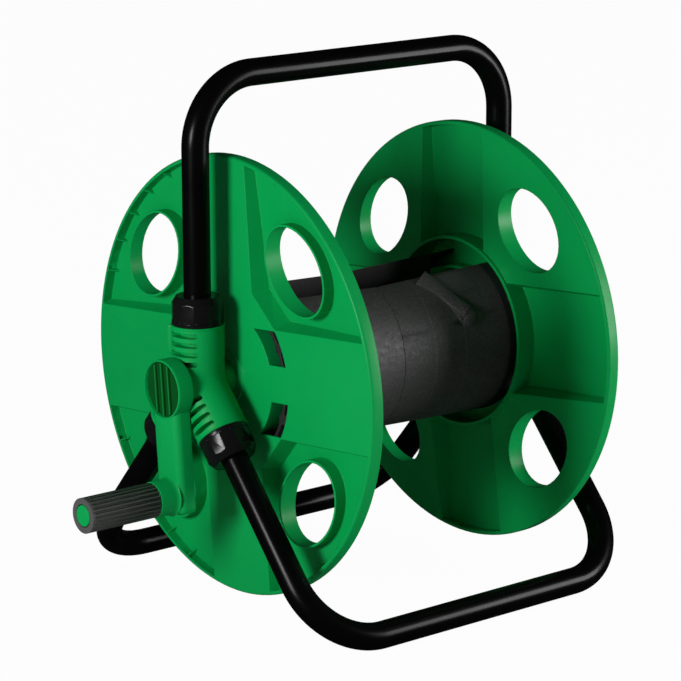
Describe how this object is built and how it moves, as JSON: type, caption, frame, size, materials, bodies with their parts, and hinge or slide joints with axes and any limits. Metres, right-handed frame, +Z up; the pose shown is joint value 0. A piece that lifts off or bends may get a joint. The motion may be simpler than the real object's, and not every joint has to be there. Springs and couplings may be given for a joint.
{
  "type": "hose reel",
  "caption": "Free-standing garden hose reel: tube frame with carrying handle and feet, discs with oval holes, drum with hose channel, crank with a turning grip.",
  "frame": {"origin": "on the floor, under the middle of the overall length, on the vertical plane through the axle", "axes": "+X along the axle from the crank side to the water inlet side, +Y to the back, +Z up"},
  "size_m": [0.4268, 0.312, 0.389],
  "materials": {
    "tube_enamel": "glossy black enamel on steel tube",
    "green_plastic": "satin moulded green plastic",
    "dark_green_plastic": "satin moulded dark green plastic",
    "black_plastic": "semi-gloss moulded black plastic",
    "drum_plastic": "fine matte moulded dark grey plastic",
    "grip_plastic": "matte ribbed dark grey plastic",
    "bush_plastic": "plain off-white acetal",
    "seal_rubber": "plain black rubber",
    "steel": "zinc-plated steel"
  },
  "bodies": {
    "frame": {"handle_tube": "tube_enamel", "front_foot_tube": "tube_enamel", "rear_foot_tube": "tube_enamel", "crank_side_bracket": "green_plastic", "inlet_side_bracket": "green_plastic", "crank_handle_collar": "black_plastic", "crank_front_collar": "black_plastic", "crank_rear_collar": "black_plastic", "inlet_handle_collar": "black_plastic", "inlet_front_collar": "black_plastic", "inlet_rear_collar": "black_plastic", "tube_screws": "steel", "crank_bush": "bush_plastic", "inlet_axle": "black_plastic", "axle_clip": "steel"},
    "reel": {"crank_side_flange": "green_plastic", "inlet_side_flange": "green_plastic", "crank_side_drum": "drum_plastic", "inlet_side_drum": "drum_plastic", "crank_arm": "green_plastic", "dial_cap": "dark_green_plastic", "crank_screw": "steel", "crank_nut": "steel", "grip_pin": "green_plastic", "hub_bush": "bush_plastic", "water_elbow": "black_plastic", "axle_seals": "seal_rubber", "elbow_screws": "steel"},
    "grip": {"grip": "grip_plastic"}
  },
  "joints": [
    {"name": "reel_spin", "type": "hinge", "parent": "frame", "child": "reel", "pos_m": [0.03035, 0, 0.168], "axis": [1, 0, 0], "continuous": true},
    {"name": "grip_spin", "type": "hinge", "parent": "reel", "child": "grip", "pos_m": [-0.17765, -0.00615, 0.09325], "axis": [1, 0, 0], "continuous": true}
  ]
}
